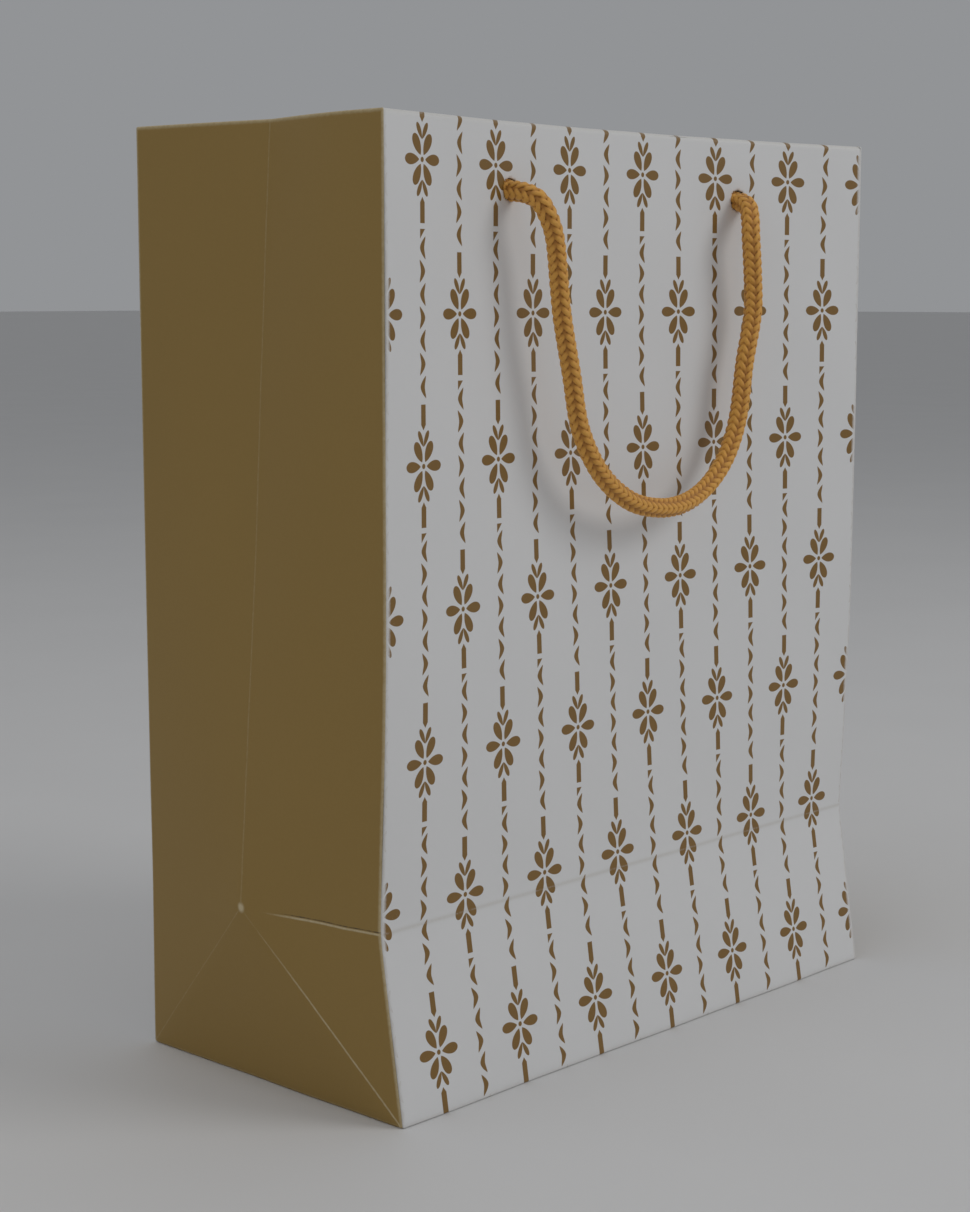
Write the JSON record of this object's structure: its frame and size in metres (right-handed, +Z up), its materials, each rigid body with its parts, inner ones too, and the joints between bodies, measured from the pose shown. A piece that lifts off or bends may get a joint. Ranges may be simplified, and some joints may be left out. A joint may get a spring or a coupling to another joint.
{
  "type": "gift bag",
  "caption": "Upright paper gift bag with a square folded base, folded side gussets, a vine-printed front and rear, and two braided cord handles knotted inside the mouth.",
  "frame": {"origin": "middle of the base, on the surface the bag stands on", "axes": "+Z up, the front panel faces -Y, +X to the right of someone facing the front"},
  "size_m": [0.205, 0.1032, 0.24],
  "materials": {
    "printed_paper": "satin coated paper with a bronze vine print",
    "gold_paper": "satin coated paper, antique gold",
    "white_paper": "uncoated white paper",
    "grey_card": "matte recycled grey card",
    "braided_cord": "matte braided cord, golden ochre"
  },
  "bodies": {
    "bag": {"front_panel": "printed_paper", "rear_panel": "printed_paper", "reinforcement_card_front": "grey_card", "reinforcement_card_rear": "grey_card", "top_hem_front": "printed_paper", "top_hem_rear": "printed_paper", "top_hem_left": "gold_paper", "top_hem_right": "gold_paper", "left_gusset_front_half": "gold_paper", "left_gusset_rear_half": "gold_paper", "right_gusset_front_half": "gold_paper", "right_gusset_rear_half": "gold_paper", "left_base_triangle": "gold_paper", "right_base_triangle": "gold_paper", "left_front_corner_triangle": "gold_paper", "left_rear_corner_triangle": "gold_paper", "right_front_corner_triangle": "gold_paper", "right_rear_corner_triangle": "gold_paper", "side_seam_flap": "white_paper", "base_flap_outer": "white_paper", "base_flap_inner": "white_paper", "base_flap_left": "white_paper", "base_flap_right": "white_paper", "front_left_knot": "braided_cord", "front_right_knot": "braided_cord", "rear_left_knot": "braided_cord", "rear_right_knot": "braided_cord"},
    "front_handle": {"front_handle_cord": "braided_cord"},
    "rear_handle": {"rear_handle_cord": "braided_cord"},
    "base_board": {"base_board": "grey_card"}
  },
  "joints": [
    {"name": "front_handle_swing", "type": "hinge", "parent": "bag", "child": "front_handle", "pos_m": [0, -0.04908, 0.2235], "axis": [-1, 0, 0], "range_deg": [-4, 180]},
    {"name": "rear_handle_swing", "type": "hinge", "parent": "bag", "child": "rear_handle", "pos_m": [0, 0.04908, 0.2235], "axis": [1, 0, 0], "range_deg": [-4, 180]},
    {"name": "base_board_lift", "type": "slide", "parent": "bag", "child": "base_board", "axis": [0, 0, 1], "range_m": [0, 0.1]}
  ]
}
